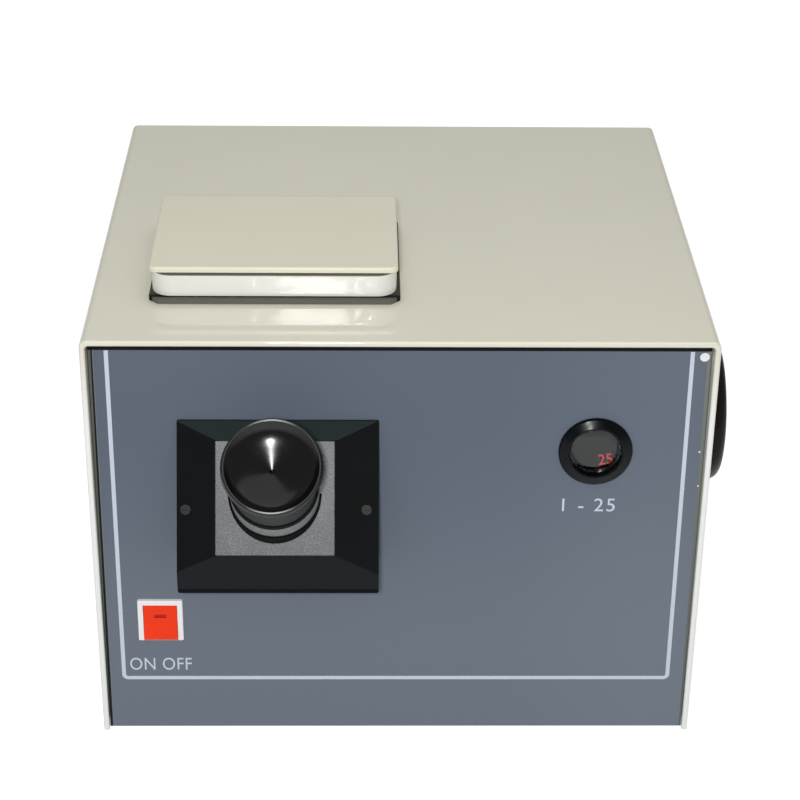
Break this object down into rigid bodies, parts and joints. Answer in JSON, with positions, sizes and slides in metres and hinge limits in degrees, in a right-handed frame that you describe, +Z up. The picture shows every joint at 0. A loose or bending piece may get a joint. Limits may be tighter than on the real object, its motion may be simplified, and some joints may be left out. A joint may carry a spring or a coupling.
{
  "type": "oil colorimeter",
  "caption": "Bench oil colorimeter: sheet-metal case with hinged sample lid, hooded eyepiece, colour disc turned by a side handwheel, number window and rocker switch.",
  "frame": {"origin": "middle of the whole object's outline, on the surface that its feet stand on", "axes": "+X to the right seen from the front, +Y from the front panel to the back, +Z up"},
  "size_m": [0.3572, 0.366, 0.2754],
  "materials": {
    "cover_paint": "fine-textured powder coat, satin",
    "panel_paint": "smooth satin paint",
    "chassis_steel": "zinc-plated sheet",
    "screw_steel": "bright zinc",
    "feet_rubber": "matt",
    "collar_black": "satin black",
    "hinge_steel": "satin",
    "lid_paint": "satin paint",
    "skirt_paint": "semi-gloss paint",
    "seal_foam": "soft cellular",
    "well_black": "matt black anodised",
    "tube_glass": "clear polished",
    "lamp_tin": "white-painted inside, mill outside",
    "diffuser_glass": "opal",
    "daylight_glass": "blue tinted",
    "holder_white": "glazed white",
    "cap_brass": "plain",
    "lamp_opal": "opal white",
    "hood_black": "semi-gloss black",
    "post_steel": "plain",
    "black_screw": "blackened",
    "plate_hammer": "grey hammer-textured",
    "socket_black": "matt black",
    "sight_grey": "light grey, sand-textured",
    "prism_glass": "clear polished",
    "eyecup_black": "gloss black",
    "barrel_grey": "satin dark grey",
    "lens_glass": "coated",
    "bezel_black": "semi-gloss black",
    "window_glass": "clear",
    "nut_nickel": "nickel plated",
    "switch_white": "white",
    "rocker_red": "bright red",
    "contact_brass": "tinned",
    "inlet_black": "moulded black",
    "disc_black": "black anodised",
    "colour_glass": "yellow to red coloured glasses",
    "ring_aluminium": "turned",
    "gear_brass": "machined",
    "shaft_steel": "ground",
    "wheel_black": "gloss black",
    "stand_grey": "grey",
    "spring_steel": "blue-grey"
  },
  "bodies": {
    "case": {"base_tray": "chassis_steel", "case_screws": "screw_steel", "cover": "cover_paint", "daylight_filter": "daylight_glass", "deflecting_prism": "prism_glass", "diffuser_plate": "diffuser_glass", "disc_stand": "stand_grey", "filter_frame": "chassis_steel", "front_panel": "panel_paint", "fuse_holder": "inlet_black", "head_body": "well_black", "head_plate": "plate_hammer", "hinge_brackets": "hinge_steel", "hinge_pins": "hinge_steel", "hood": "hood_black", "hood_posts": "post_steel", "hood_screws": "black_screw", "index_spring": "spring_steel", "inlet_pins": "contact_brass", "joining_prisms": "prism_glass", "lamp_cap": "cap_brass", "lamp_holder": "holder_white", "lamp_house": "lamp_tin", "opal_lamp": "lamp_opal", "panel_brackets": "chassis_steel", "power_inlet": "inlet_black", "rear_panel": "cover_paint", "reference_tube": "tube_glass", "rubber_feet": "feet_rubber", "sample_collar": "collar_black", "sample_tube": "tube_glass", "shaft_bushes": "gear_brass", "sight_tube": "sight_grey", "socket_collar": "socket_black", "switch_body": "switch_white", "switch_terminals": "contact_brass", "well_block": "well_black", "well_brackets": "chassis_steel", "wheel_stand": "stand_grey", "window_bezel": "bezel_black", "window_lens": "window_glass", "window_nut": "nut_nickel"},
    "lid": {"lid_plate": "lid_paint", "lid_skirt": "skirt_paint", "lid_seal": "seal_foam", "hinge_arms": "hinge_steel"},
    "rocker": {"rocker": "rocker_red"},
    "disc": {"colour_disc": "disc_black", "colour_glasses": "colour_glass", "retaining_ring": "ring_aluminium", "disc_hub": "gear_brass", "disc_shaft": "shaft_steel", "disc_gear": "gear_brass"},
    "wheel": {"handwheel": "wheel_black", "wheel_shaft": "shaft_steel", "wheel_pinion": "gear_brass"},
    "ocular": {"ocular_barrel": "barrel_grey", "eyecup": "eyecup_black", "eye_lens": "lens_glass", "field_lens": "lens_glass"}
  },
  "joints": [
    {"name": "lid_hinge", "type": "hinge", "parent": "case", "child": "lid", "pos_m": [-0.07774, 0.02656, 0.262], "axis": [-1, 0, 0], "range_deg": [0, 100]},
    {"name": "rocker_pivot", "type": "hinge", "parent": "case", "child": "rocker", "pos_m": [-0.14149, -0.11132, 0.07983], "axis": [1, 0, 0], "range_deg": [0, 16]},
    {"name": "disc_spin", "type": "hinge", "parent": "case", "child": "disc", "pos_m": [0.03186, -0.07704, 0.147], "axis": [0, 1, 0], "continuous": true},
    {"name": "handwheel_spin", "type": "hinge", "parent": "case", "child": "wheel", "pos_m": [0.16926, 0.01096, 0.147], "axis": [1, 0, 0], "continuous": true},
    {"name": "ocular_focus", "type": "slide", "parent": "case", "child": "ocular", "axis": [0, -0.6691, 0.7431], "range_m": [0, 0.005]}
  ],
  "couplings": [
    {"joint": "handwheel_spin", "follows": "disc_spin", "ratio": 1}
  ]
}
